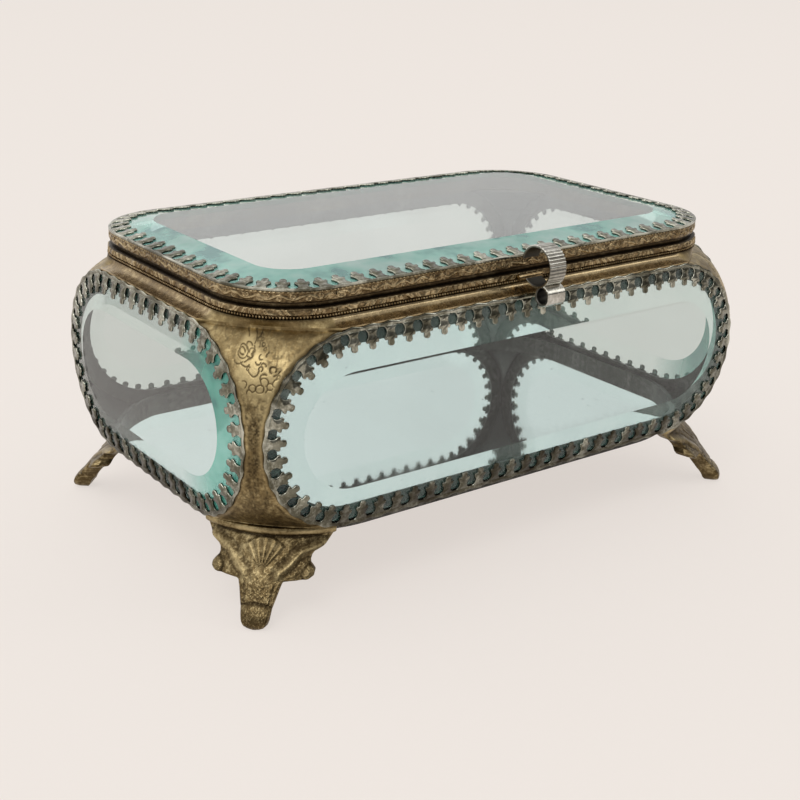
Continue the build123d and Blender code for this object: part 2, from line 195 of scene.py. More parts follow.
def smooth(low, high, x):
    """0 below low, 1 above high, and an even rise between them."""
    share = np.clip((x - low) / (high - low), 0, 1)
    return share * share * (3 - 2 * share)


def dome(reach):
    """A half round, 1 in its middle and 0 from a reach of 1 outwards."""
    return np.sqrt(np.clip(1 - reach ** 2, 0, 1))


def rounded(share):
    """How far a round edge falls back: 1 on the edge itself, 0 from one radius inwards."""
    return 1 - dome((1 - share).clip(0))


def around(turn):
    """Directions in a plane at these angles."""
    return np.stack([np.cos(turn), np.sin(turn)], axis=1)


def ridge(distance, width):
    """A rounded ridge, 1 on its line and fading out over its width."""
    return np.exp(-((distance / width) ** 2))


def grain(x, y, size, seed):
    """Smooth random relief from -1 to 1, with lumps of about this size."""
    table = np.random.default_rng(seed).uniform(-1, 1, (GRAIN_TABLE, GRAIN_TABLE))
    column, row = x / size, y / size
    left, below = np.floor(column).astype(int), np.floor(row).astype(int)
    across, up = smooth(0, 1, column - left), smooth(0, 1, row - below)

    def corner(right, above):
        return table[(left + right) % GRAIN_TABLE, (below + above) % GRAIN_TABLE]

    low = corner(0, 0) * (1 - across) + corner(1, 0) * across
    high = corner(0, 1) * (1 - across) + corner(1, 1) * across
    return low * (1 - up) + high * up


def edit(step):
    """Runs a step in edit mode on the whole active mesh."""
    bpy.ops.object.mode_set(mode="EDIT")
    bpy.ops.mesh.select_all(action="SELECT")
    step()
    bpy.ops.object.mode_set(mode="OBJECT")


def close_mesh():
    """Merges seams, closes the open ends and turns all faces outwards."""
    bpy.ops.mesh.remove_doubles(threshold=1e-6)
    bpy.ops.mesh.fill_holes(sides=0)
    bpy.ops.mesh.select_all(action="SELECT")
    bpy.ops.mesh.normals_make_consistent(inside=False)


def set_tones(piece, tones):
    """Keeps tones of a mesh's points as attributes."""
    for tone, values in tones.items():
        layer = piece.data.attributes.new(tone, "FLOAT", "POINT")
        layer.data.foreach_set("value", np.ascontiguousarray(values, np.float32).ravel())


def sheet(name, points, tones):
    """A grid shaped row by row into a closed skin, with its tones kept as attributes."""
    rows, columns = points.shape[:2]
    bpy.ops.object.select_all(action="DESELECT")
    bpy.ops.mesh.primitive_grid_add(x_subdivisions=columns - 1, y_subdivisions=rows - 1)
    piece = bpy.context.object
    piece.name = name
    piece.data.vertices.foreach_set("co", np.ascontiguousarray(points, np.float32).ravel())
    set_tones(piece, tones)
    edit(close_mesh)
    bpy.ops.object.shade_smooth_by_angle(angle=SMOOTH_ANGLE)
    return piece


def copies(name, pattern, places):
    """The pattern copied to each place, each copy with its own mesh, joined as one piece."""
    bpy.ops.object.select_all(action="DESELECT")
    for place in places:
        copy = pattern.copy()
        copy.data = pattern.data.copy()
        copy.data.transform(place)
        bpy.context.collection.objects.link(copy)
        copy.select_set(True)
    bpy.context.view_layer.objects.active = copy
    bpy.ops.object.join()
    copy.name = name
    bpy.data.objects.remove(pattern)
    return copy


def joined(name, *parts):
    """Several meshes joined as one piece."""
    bpy.ops.object.select_all(action="DESELECT")
    for part in parts:
        part.select_set(True)
    bpy.context.view_layer.objects.active = parts[0]
    bpy.ops.object.join()
    parts[0].name = name
    return parts[0]


def finish_piece(piece, body, slot, node):
    """Dresses a piece for its slot, rides it on its body and lets it stand for its node."""
    piece.data.materials.clear()
    piece.data.materials.append(finishes[slot])
    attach(piece, body)
    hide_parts(node)


class Track:
    """A rounded rectangle walked anticlockwise at even steps, whose last station repeats the first."""

    def __init__(self, half_x, half_y, corner, step):
        self.corner = corner
        centres = np.array([(-1, -1), (1, -1), (1, 1), (-1, 1)]) * (half_x - corner, half_y - corner)
        bends = round(corner * pi / 2 / step)
        cores, turns = [], []
        for side in range(4):
            here, there = centres[side], centres[(side + 1) % 4]
            runs = round(np.linalg.norm(there - here) / step)
            run = (np.arange(runs) / max(runs, 1))[:, None]
            bend = np.arange(bends) / bends
            cores += [here + (there - here) * run, np.tile(there, (bends, 1))]
            turns += [np.full(runs, side - 1.0), side - 1 + bend]
        self.core = np.concatenate(cores + [centres[:1]])
        self.turn = np.concatenate(turns + [[3.0]]) * pi / 2
        self.out = around(self.turn)
        steps = np.linalg.norm(np.diff(self.at(0), axis=0), axis=1)
        self.along = np.concatenate([[0], np.cumsum(steps)])

    def at(self, offset):
        """The outline moved outwards by an offset, which may differ from station to station."""
        return self.core + self.out * (self.corner + np.asarray(offset))[..., None]

    def stations(self, pitch):
        """Evenly spaced points on the outline, each with the direction outwards."""
        count = round(self.along[-1] / pitch)
        distance = (np.arange(count) + 0.5) * self.along[-1] / count
        core = np.stack([np.interp(distance, self.along, place) for place in self.core.T], axis=1)
        out = around(np.interp(distance, self.along, self.turn))
        return core + out * self.corner, out


class Face:
    """A face of the casket: its middle, and the directions along it, up it and out of it."""

    def __init__(self, middle, along, up, out):
        self.middle, self.along = np.array(middle, float), np.array(along, float)
        self.up, self.out = np.array(up, float), np.array(out, float)

    def lay(self, flat, depth):
        """Points drawn on the face, at a depth out of it."""
        depth = np.broadcast_to(depth, flat.shape[:-1])[..., None]
        return self.middle + flat[..., :1] * self.along + flat[..., 1:] * self.up + depth * self.out

    def place(self, point, out, tilt):
        """The place of a copy at a point of an outline: X along it, Y inwards, tilted up by a slope."""
        inwards = -(out[0] * self.along + out[1] * self.up)
        slope = inwards * cos(tilt) + self.out * sin(tilt)
        normal = self.out * cos(tilt) - inwards * sin(tilt)
        heading = np.cross(slope, normal)
        spot = self.middle + point[0] * self.along + point[1] * self.up
        rows = np.stack([heading, slope, normal, spot], axis=1).tolist()
        return Matrix((*rows, (0, 0, 0, 1)))


LID_FACE = Face((0, middle_y, lid_claw_seat), (1, 0, 0), (0, 1, 0), (0, 0, 1))
PLAN = Face((0, middle_y, 0), (1, 0, 0), (0, 1, 0), (0, 0, 1))


def case_face(x, y):
    """The face of the case that looks along a direction of the plan."""
    middle = (x * case_half[0], middle_y + y * case_half[1], panel_middle)
    return Face(middle, (-y, x, 0), (0, 0, 1), (x, y, 0))


LONG_SIDES = ("front", "back")
PANEL_FACES = {
    "front": case_face(0, -1), "back": case_face(0, 1),
    "left": case_face(-1, 0), "right": case_face(1, 0),
}


def panel_half(side):
    """Half the length of a panel."""
    return panel_high[0] if side in LONG_SIDES else (side_high[1] - side_low[1]) / 2


def swept(name, track, face, profile, relief, tones):
    """A closed profile of (offset, depth) points carried round an outline, with relief outwards."""
    profile = list(profile) + [profile[0]]
    rows = [face.lay(track.at(offset + lift), depth) for (offset, depth), lift in zip(profile, relief)]
    return sheet(name, np.stack(rows), tones)


# Finishes

class Value:
    """A number that changes over a surface. Arithmetic on it adds the nodes that work it out."""

    def __init__(self, finish, socket):
        self.finish = finish
        self.socket = socket

    def _maths(self, operation, first, second):
        return self.finish.node("ShaderNodeMath", {0: first, 1: second}, {"operation": operation})

    def __add__(self, other):
        return self._maths("ADD", self, other)

    def __sub__(self, other):
        return self._maths("SUBTRACT", self, other)

    def __rsub__(self, other):
        return self._maths("SUBTRACT", other, self)

    def __mul__(self, other):
        return self._maths("MULTIPLY", self, other)

    __radd__ = __add__
    __rmul__ = __mul__

    def clamp(self, low, high):
        return self._maths("MAXIMUM", self._maths("MINIMUM", self, high), low)


class Finish:
    """A material or surround under construction: one method adds a node, its settings and its links."""

    def __init__(self, owner):
        self.owner = owner
        owner.use_nodes = True
        self.tree = owner.node_tree
        self.tree.nodes.clear()

    def node(self, kind, inputs=None, settings=None, output=0):
        made = self.tree.nodes.new(kind)
        for name, setting in (settings or {}).items():
            setattr(made, name, setting)
        for name, given in (inputs or {}).items():
            if isinstance(given, Value):
                self.tree.links.new(given.socket, made.inputs[name])
            else:
                made.inputs[name].default_value = given
        return Value(self, made.outputs[output]) if made.outputs else None

    def coordinates(self):
        return self.node("ShaderNodeTexCoord", output="Object")

    def noise(self, scale, detail, roughness=0.6):
        return self.node("ShaderNodeTexNoise", {
            "Vector": self.coordinates(), "Scale": scale, "Detail": detail, "Roughness": roughness})

    def tone(self, name):
        """A tone of the mesh, which is 0 where the mesh has none."""
        return self.node("ShaderNodeAttribute", None, {"attribute_name": name}, "Fac")

    def ramp(self, value, stops):
        made = self.node("ShaderNodeValToRGB", {"Fac": value})
        elements = made.socket.node.color_ramp.elements
        while len(elements) < len(stops):
            elements.new(1)
        for element, (place, colour) in zip(elements, stops):
            element.position = place
            element.color = (*colour, 1)
        return made

    def mix(self, share, first, second):
        def colour(given):
            return given if isinstance(given, Value) else (*given, 1)
        inputs = {0: share, 6: colour(first), 7: colour(second)}
        return self.node("ShaderNodeMix", inputs, {"data_type": "RGBA"}, 2)

    def surface(self, **inputs):
        named = {name.replace("_", " "): given for name, given in inputs.items()}
        return self.node("ShaderNodeBsdfPrincipled", named)

    def done(self, shader, output="ShaderNodeOutputMaterial"):
        self.node(output, {"Surface": shader})
        return self.owner


def new_finish(name):
    """A finish for a new material."""
    return Finish(bpy.data.materials.new(name))


def aged_metal(name, shade, body, shine, dark, rough, grit):
    """Old gilt or silvered metal: grime in hollows and painted shade, bright places that are partly
    wear and partly painted highlights, painted shade on inner faces, fine mottling and scratches.
    """
    f = new_finish(name)
    cloud = f.noise(90, 4)
    mottle = f.noise(700, 5, 0.7)
    speck = f.noise(2600, 2)
    tarnish = (cloud * 0.5 + mottle * 0.6 + speck * 0.15).clamp(0, 1)
    colour = f.ramp(tarnish, [(0.42, shade), (0.62, body), (0.82, shine)])
    # Bright tone: real wear, and painted highlights on rims, crests and upper faces.
    colour = f.mix(f.tone("wear_and_highlight").clamp(0, 1), colour, shine)
    # Inner faces take a dark grey: painted shade inside the case.
    colour = f.mix(f.tone("inner").clamp(0, 1), colour, INNER_SHADE_GREY)
    # Dark tone: grime in hollows, and painted shade in gaps, under mouldings, low down and on inner
    # sides.
    colour = f.mix(f.tone("grime_and_shade").clamp(0, 1), colour, dark)
    roughness = (rough + (mottle - 0.5) * (0.35 * grit) + f.tone("grime_and_shade") * 0.25).clamp(0.12, 0.9)
    relief = f.node("ShaderNodeBump", {
        "Height": mottle * 0.6 + speck * 0.4, "Distance": 0.05 * MM, "Strength": 0.8 * grit})
    return f.done(f.surface(Base_Color=colour, Metallic=1.0, Roughness=roughness, Normal=relief))


def glass_shader(f, colour):
    """Polished glass of a colour, a little smeared, which lets lamplight through."""
    smear = f.noise(45, 3)
    body = f.mix(smear, colour, np.multiply(0.95, colour))
    haze = (smear - 0.45).clamp(0, 1) * 0.05
    glass = f.surface(Base_Color=body, Roughness=haze, IOR=GLASS_IOR, Transmission_Weight=1.0)
    through = f.node("ShaderNodeBsdfTransparent", {"Color": (*colour, 1)})
    lamp_ray = f.node("ShaderNodeLightPath", output="Is Shadow Ray")
    return f.node("ShaderNodeMixShader", {0: lamp_ray, 1: glass, 2: through})


def plate_glass():
    """Old plate glass, faintly green-grey."""
    f = new_finish("plate_glass")
    return f.done(glass_shader(f, PLATE_TINT))


def bevel_glass(name, share, tint):
    """The bevel of a plate, where a share of the glass is painted in sea-greens: painted refraction of
    the light that the green depth of the glass gathers.
    """
    f = new_finish(name)
    stops = [(place, np.multiply(tint, green)) for place, green in SEA_GREENS]
    greens = f.ramp(f.noise(80, 3), stops)
    gathered = f.surface(Base_Color=greens, Roughness=0.08, IOR=GLASS_IOR, Transmission_Weight=0.3)
    return f.done(f.node("ShaderNodeMixShader", {
        0: share(f), 1: glass_shader(f, BEVEL_TINT), 2: gathered}))


def patchy(level, spread, low, high):
    """A share about a level that differs from place to place."""
    return lambda f: (level + (f.noise(30, 2) - 0.5) * spread).clamp(low, high)


def along_panel_end(f):
    """Painted deep-green refraction towards the front end of a side panel."""
    y = f.node("ShaderNodeSeparateXYZ", {0: f.coordinates()}, output="Y")
    return ((float(middle_y) - END_GREEN_START - y) * END_GREEN_RISE).clamp(0.06, 0.85)


def mirror_glass():
    """A silvered mirror, a little hazy, with a few spots of lost silver."""
    f = new_finish("aged_mirror")
    haze = f.noise(60, 4)
    spots = f.noise(420, 3)
    lost = ((spots - 0.68) * 9.0).clamp(0, 1)
    colour = f.mix(lost, MIRROR_SILVER, MIRROR_BACKING)
    roughness = 0.03 + (haze - 0.4).clamp(0, 1) * 0.12 + lost * 0.3
    return f.done(f.surface(Base_Color=colour, Metallic=1.0, Roughness=roughness))


BRASS_DARK = (0.022, 0.014, 0.008)
SILVER_DARK = (0.022, 0.020, 0.015)
# dark grey of the inner faces, a painted shade
INNER_SHADE_GREY = (0.028, 0.027, 0.025)
PLATE_TINT = (0.80, 0.853, 0.845)
BEVEL_TINT = (0.85, 0.915, 0.90)
# greens painted on the bevels as painted refraction of the green glass edge
SEA_GREENS = [(0.36, (0.23, 0.53, 0.50)), (0.46, (0.41, 0.86, 0.74)), (0.66, (0.70, 1.0, 0.92))]
PALE_GREEN = (1, 1, 1)
END_GREEN = (0.26, 0.52, 0.48)
MIRROR_SILVER = (0.92, 0.97, 0.97)
MIRROR_BACKING = (0.16, 0.17, 0.15)
GLASS_IOR = 1.43
METALS = {  # shade, body, shine, colour of grime and painted shade, roughness and grit
    "gilt_brass": (
        (0.08, 0.053, 0.026), (0.205, 0.142, 0.07), (0.64, 0.51, 0.3), BRASS_DARK, 0.26, 1.0),
    "etched_brass": (
        (0.105, 0.073, 0.033), (0.238, 0.173, 0.08), (0.64, 0.51, 0.265), BRASS_DARK, 0.4, 0.8),
    "cast_brass": (
        (0.058, 0.039, 0.017), (0.128, 0.09, 0.04), (0.5, 0.4, 0.215), BRASS_DARK, 0.34, 1.0),
    "claw_metal": (
        (0.05, 0.048, 0.033), (0.148, 0.142, 0.102), (0.64, 0.635, 0.54), BRASS_DARK, 0.18, 0.3),
    "clasp_silver": (
        (0.25, 0.238, 0.205), (0.42, 0.405, 0.355), (0.76, 0.74, 0.69), SILVER_DARK, 0.22, 0.4),
    "frame_metal": (
        (0.026, 0.025, 0.022), (0.058, 0.056, 0.05), (0.19, 0.182, 0.165), SILVER_DARK, 0.36, 0.5),
    "pin_steel": (
        (0.16, 0.15, 0.13), (0.32, 0.3, 0.26), (0.6, 0.57, 0.52), SILVER_DARK, 0.35, 1.0),
}
finishes = {name: aged_metal(name, *look) for name, look in METALS.items()}
finishes["bevelled_glass"] = plate_glass()
finishes["mirror_floor"] = mirror_glass()
# shares of painted refraction green: patchy on the lid and long panels, towards the front end on the
# side panels
lid_bevel = bevel_glass("lid_bevel", patchy(0.60, 0.5, 0.3, 0.9), PALE_GREEN)
end_bevel = bevel_glass("end_bevel", along_panel_end, END_GREEN)
long_bevel = bevel_glass("long_bevel", patchy(0.10, 0.2, 0.0, 0.3), PALE_GREEN)


# Claw strips

def claw_pattern():
    """One claw, seen square on: a root, concave flanks, two shoulders and a round tip."""
    half_pitch = CLAW_PITCH / 2
    turns = np.radians(np.linspace(-78, 52, 8))
    flank = [(half_pitch - CLAW_HOLE * cos(t), CLAW_HOLE_MIDDLE + CLAW_HOLE * sin(t)) for t in turns]
    right = flank + [(x * MM, y * MM) for x, y in CLAW_CROWN]
    outline = right + [(0.0, CLAW_LENGTH)] + [(-x, y) for x, y in reversed(right)]
    bpy.ops.object.select_all(action="DESELECT")
    bpy.ops.mesh.primitive_circle_add(vertices=len(outline), fill_type="NGON")
    claw = bpy.context.object
    for vertex, (x, y) in zip(claw.data.vertices, outline):
        vertex.co = (x, y, 0)

    def raise_face():
        bpy.ops.mesh.extrude_region_move(TRANSFORM_OT_translate={"value": (0, 0, 0.75 * CLAW_SHEET)})
        bpy.ops.mesh.inset(thickness=CLAW_ROUND, depth=0.25 * CLAW_SHEET)

    edit(raise_face)
    edit(close_mesh)
    bpy.ops.object.shade_smooth()
    level = np.array([vertex.co.z for vertex in claw.data.vertices]) / CLAW_SHEET
    # painted highlight round the raised rim, and painted shade at the claw's foot
    set_tones(claw, {"wear_and_highlight": 0.7 * ((level > 0.5) & (level < 0.9)), "grime_and_shade": 0.6 * (level < 0.5)})
    return claw


def claw_strip(name, face, half_x, half_y, corner, scallop):
    """The claws of one glass and the narrow edge they grow from, which swells at each claw."""
    tilt = atan(BEVEL_SLOPE)
    track = Track(half_x, half_y, corner, STRIP_STEP)
    points, outs = track.stations(CLAW_PITCH)
    places = [face.place(point, out, tilt) for point, out in zip(points, outs)]
    claws = copies(name + "_teeth", claw_pattern(), places)
    top = CLAW_SHEET * 1.12
    profile = [(-0.08 * MM, 0), (0, 0.1 * MM), (0, 0.8 * top), (-0.15 * MM, top),
               (-0.45 * MM, top), (-CLAW_EDGE, 0.9 * top), (-CLAW_EDGE, 0)]
    wear_and_highlight = np.zeros((len(profile) + 1, len(track.along)))
    # a patchy painted highlight along the edge's outer rim
    wear_and_highlight[2:4] = np.clip(0.25 + 0.5 * grain(track.along, 0 * track.along, 4.0 * MM, 8), 0, 1)
    swell = np.zeros_like(wear_and_highlight)
    swell[[0, 1, 2, 3, -1]] = scallop * np.sin(pi * len(points) * track.along / track.along[-1]) ** 2
    edge = swept(name + "_edge", track, face, profile, swell, {"wear_and_highlight": wear_and_highlight})
    return low_shade_and_glints(joined(name, claws, edge))


def low_shade_and_glints(strip):
    """Gives a strip painted shade towards the foot of the panels, and painted glints and dark patches
    that differ from claw to claw.
    """
    count = len(strip.data.vertices)
    places, grime_and_shade, wear_and_highlight = np.empty(3 * count), np.empty(count), np.empty(count)
    strip.data.vertices.foreach_get("co", places)
    tones = strip.data.attributes
    tones["grime_and_shade"].data.foreach_get("value", grime_and_shade)
    tones["wear_and_highlight"].data.foreach_get("value", wear_and_highlight)
    x, y, z = places.reshape(-1, 3).T
    # bright and dark painted glints that differ from claw to claw
    wear_and_glint = grain(x + y, z, 3.4 * MM, 9)
    # painted shade low on the panels
    low_shade = CLAW_LOW_SHADE * (1 - smooth(2.0 * MM, 12.0 * MM, z - panel_low[2]))
    grime_and_shade = np.clip(np.maximum(grime_and_shade, low_shade) - 0.4 * wear_and_glint, 0, 0.85)
    wear_and_highlight = np.clip(wear_and_highlight + 0.5 * wear_and_glint - low_shade, 0, 0.85)
    tones["grime_and_shade"].data.foreach_set("value", grime_and_shade)
    tones["wear_and_highlight"].data.foreach_set("value", wear_and_highlight)
    return strip


# Glass panes

def pane(name, node, face, half, corner, bevel, across, depth):
    """A plate with a wide bevel on its outer side; finish_pane gives the bevel a glass of its own."""
    low, high = box(node)
    inset = half[0] - (high - low)[across] / 2
    thickness = (high - low)[depth]
    back = ((low if face.out[depth] > 0 else high)[depth] - face.middle[depth]) * face.out[depth]
    track = Track(*half, corner, STRIP_STEP)
    shoulder = back + thickness - bevel * BEVEL_SLOPE
    rows = [(-inset, back), (-inset, shoulder), (-inset - bevel, back + thickness)]
    made = sheet(name, np.stack([face.lay(track.at(offset), level) for offset, level in rows]), {})
    bpy.ops.object.shade_smooth_by_angle(angle=BEVEL_ANGLE)
    return made


def finish_pane(made, body, bevel_finish, node):
    """Clear glass on a pane's flat faces, and the bevel's own on the slopes and edge."""
    finish_piece(made, body, "bevelled_glass", node)
    made.data.materials.append(bevel_finish)
    for polygon in made.data.polygons:
        polygon.material_index = 1 if len(polygon.vertices) == 4 else 0


# Rims

def lid_band():
    """The lid's band: a running vine between a plain foot and a fine rope line, and a glass ledge."""
    track = Track(*lid_half, LID_CORNER, RIM_STEP)
    bottom, top = lid_low[2], lid_high[2]
    heights = bottom + (top - bottom) * RIM_RISE
    ledge = bottom + LID_LEDGE_HEIGHT
    inside = -LID_WALL - LID_LEDGE
    inner = [(-LID_WALL, top), (-LID_WALL, ledge), (inside, ledge), (inside, bottom)]
    profile = [*zip(-0.45 * MM * rounded(RIM_RISE / 0.16), heights), *inner]
    along = track.along[None, :]
    level = (heights - bottom)[:, None]
    wander = along + 0.9 * MM * grain(along, 0 * along, 3.0 * MM, 5)
    wave = 2 * pi * wander / VINE_PITCH
    vine = ridge(level - VINE_LEVEL - 0.42 * MM * np.sin(wave), 0.26 * MM)
    half_waves = wander / VINE_PITCH * 2
    curl_along = half_waves % 1 - 0.5
    side = np.where(half_waves % 2 < 1, -1.0, 1.0)
    spread = np.hypot(curl_along * VINE_PITCH / 2, level - VINE_LEVEL - side * 0.28 * MM)
    curl = np.maximum(ridge(spread - 0.42 * MM, 0.15 * MM), ridge(spread, 0.16 * MM))
    zone = smooth(0.35 * MM, 0.6 * MM, level) * (1 - smooth(1.95 * MM, 2.1 * MM, level))
    rope = np.abs(np.sin(pi * (along + 0.5 * level) / ROPE_PITCH)) * ridge(level - ROPE_LEVEL, 0.2 * MM)
    pattern = np.maximum(np.maximum(vine, curl) * zone, rope)
    # The lowest rows are darkened as a painted shadow of the gap between lid and rim.
    return band("lid_band", track, profile, pattern, VINE_RELIEF, 1 - smooth(0.10, 0.22, RIM_RISE))


def band(name, track, profile, pattern, height, gap):
    """A rim with a pattern on its outer rows: grime in the ground, painted shadow in the gap, wear and
    painted highlights on the crests, and painted shade on its inner side.
    """
    rows = len(gap)
    blank = np.zeros((len(profile) + 1, len(track.along)))
    relief, grime_and_shade, wear_and_highlight = blank.copy(), blank.copy(), blank.copy()
    rough = grain(track.along[None, :], np.array(profile)[:rows, 1:], 0.4 * MM, 3)
    wear_and_glint = grain(track.along[None, :], 0 * rough, 7.0 * MM, 4)
    relief[:rows] = height * (pattern - 1)
    ground = np.clip(0.42 - 0.6 * pattern + 0.45 * rough, 0, 0.85)
    # grime in the ground of the pattern, and painted shadow over the rows by the gap
    grime_and_shade[:rows] = np.maximum(ground, 0.97 * gap[:, None])
    # wear and painted highlights on the crests
    wear_and_highlight[:rows] = np.clip(pattern - 0.55 + 0.45 * rough + 0.3 * wear_and_glint, 0, 0.85)
    # painted shade on the inner side
    grime_and_shade[rows:] = INNER_SHADE
    for rows_of_tone in (relief, grime_and_shade, wear_and_highlight):
        rows_of_tone[-1] = rows_of_tone[0]
    return swept(name, track, PLAN, profile, relief, {"grime_and_shade": grime_and_shade, "wear_and_highlight": wear_and_highlight})


def pearl_pattern():
    """One pearl of a pearl line."""
    bpy.ops.object.select_all(action="DESELECT")
    bpy.ops.mesh.primitive_uv_sphere_add(segments=6, ring_count=5, radius=PEARL_RADIUS)
    pearl = bpy.context.object
    bpy.ops.object.shade_smooth()
    return pearl


def rim_band():
    """The case's upper rim: a row of slanted leaves, and a line of pearls under it."""
    track = Track(*rim_half, rim_corner, RIM_STEP)
    bottom, top = rim_low[2], rim_low[2] + RIM_HEIGHT
    heights = bottom + RIM_HEIGHT * RIM_RISE
    off_middle = (np.abs(RIM_RISE - 0.5) / 0.5 - 0.35).clip(0)
    bulge = 0.75 * MM * (1 - np.sqrt(np.clip(1 - off_middle ** 2 / 0.44, 0, 1)))
    inside, shelf = -RIM_WIDTH, -RIM_WIDTH + RIM_LIP
    lip = rim_high[2]
    inner = [(shelf, top), (shelf, lip), (inside, lip), (inside, bottom)]
    profile = [*zip(-bulge, heights), *inner]
    along = track.along[None, :]
    level = (heights - bottom)[:, None]
    wander = along + 1.1 * MM * grain(along, 0 * along, 2.4 * MM, 7)
    slant = 2 * pi * (wander + 0.9 * level * np.cos(pi * along / (4 * LEAF_PITCH))) / LEAF_PITCH
    leaf = np.abs(np.sin(slant / 2)) ** 0.8
    vein = 0.35 * ridge(np.sin(slant / 2 + pi / 2), 0.16)
    lobes = 0.2 * np.cos(slant * 3)
    zone = smooth(0.75 * MM, 1.05 * MM, level) * (1 - smooth(2.1 * MM, 2.35 * MM, level))
    pattern = np.clip(leaf - vein + lobes, 0, 1) * zone
    # The top rows are darkened as a painted shadow of the gap between lid and rim.
    rim = band("rim_band", track, profile, pattern, LEAF_RELIEF, smooth(0.80, 0.92, RIM_RISE))
    points, outs = Track(*rim_half, rim_corner, STRIP_STEP).stations(PEARL_PITCH)
    seats = PLAN.lay(points - outs * PEARL_SUNK, bottom + PEARL_LEVEL)
    pearls = copies("pearls", pearl_pattern(), [Matrix.Translation(seat) for seat in seats])
    return joined("rim_band", rim, pearls)


def corner_arc(bulge, share):
    """A corner of unit reach, round at a bulge of 1: forward, sideways, lean and length along it."""
    sag = (1 - sqrt(0.5)) * bulge
    curve = (0.5 + sag ** 2) / (2 * sag)
    lean_end = asin(sqrt(0.5) / curve)
    lean = share * lean_end
    return curve * (np.cos(lean) - cos(lean_end)) - sqrt(0.5), curve * np.sin(lean), lean, curve * lean


def neck_outline(inward, reach, bulge):
    """Points round the neck at one height, whose last repeats the first."""
    forward, sideways, _, _ = corner_arc(bulge, np.linspace(-1, 1, CORNER_STATIONS))
    corner = reach * sqrt(0.5) * np.stack([forward - sideways, forward + sideways], axis=1)
    arcs = []
    for x, y in ((1, 1), (-1, 1), (-1, -1), (1, -1)):
        arc = (case_half - inward + corner) * (x, y)
        arcs.append(arc if x == y else arc[::-1])
    share = np.linspace(0, 1, STRAIGHT_STATIONS)[1:-1, None]
    runs = []
    for arc, following in zip(arcs, arcs[1:] + arcs[:1]):
        runs += [arc, arc[-1] + (following[0] - arc[-1]) * share]
    return np.concatenate(runs + [arcs[0][:1]])


def into_corner(x, y):
    """How far a point of the plan lies within a case corner, as a share of it. 0 or less is outside."""
    return np.minimum(np.abs(x) - case_half[0], np.abs(y) - case_half[1]) / case_corner + 1


def cove():
    """The moulding under the rim: concave over the panels, with a painted highlight on its thin lip,
    flat on the posts; painted shade at its foot, towards the rim and on its inner side, and brighter
    towards the front.
    """
    bottom, top = neck_low[2], neck_high[2]
    low = neck_outline(0, case_corner, POST_BULGE)
    high = neck_outline(rim_inset, rim_corner, 1.0)
    inner = neck_outline(rim_inset + RIM_WIDTH, rim_corner - RIM_WIDTH, 1.0)
    flat = smooth(0, 0.16, into_corner(low[:, 0], low[:, 1]))
    rows = [PLAN.lay(low, bottom + share * NECK_LIP) for share in (0, 0.7, 1)]
    # brighter towards the front over the panels
    front_brightening = 0.3 * smooth(0.8, 1.0, -low[:, 1] / case_half[1])
    # painted shade at the cove's foot and growing towards the rim, and a painted highlight along the
    # lip over the panels
    grime_and_shade = [0.3 - 0.18 * flat, 0.12 * flat, 0.12 * flat]
    wear_and_highlight = [np.zeros_like(flat), 0.5 - 0.45 * flat, 0.5 - 0.45 * flat]
    for turn in np.radians(np.linspace(8, 90, 10)):
        rise = 1 - cos(turn)
        drawn = sin(turn) + (rise - sin(turn)) * flat
        level = bottom + NECK_LIP + (top - bottom - NECK_LIP) * rise
        rows.append(PLAN.lay(low + (high - low) * drawn[:, None], level))
        over_panel = 0.3 * smooth(0.6, 1.0, rise)
        grime_and_shade.append(over_panel + (0.12 + 0.6 * smooth(0.6, 1.0, rise) - over_panel) * flat)
        wear_and_highlight.append(0.1 * (1 - rise) + front_brightening * (1 - flat))
    rows += [PLAN.lay(inner, top), PLAN.lay(inner, bottom), rows[0]]
    # painted shade on the inner side
    grime_and_shade += [np.full_like(flat, INNER_SHADE)] * 2 + [grime_and_shade[0]]
    wear_and_highlight += [np.zeros_like(flat)] * 3
    return sheet("cove", np.stack(rows), {"grime_and_shade": np.stack(grime_and_shade), "wear_and_highlight": np.stack(wear_and_highlight)})


def finish_cove(made):
    """Gilt brass over the panels, and the posts' own finish at the corners."""
    finish_piece(made, "case", "gilt_brass", "neck_cove")
    made.data.materials.append(finishes["etched_brass"])
    for polygon in made.data.polygons:
        x, y, _ = polygon.center
        polygon.material_index = 1 if into_corner(x, y - middle_y) > 0.01 else 0


# Corner posts

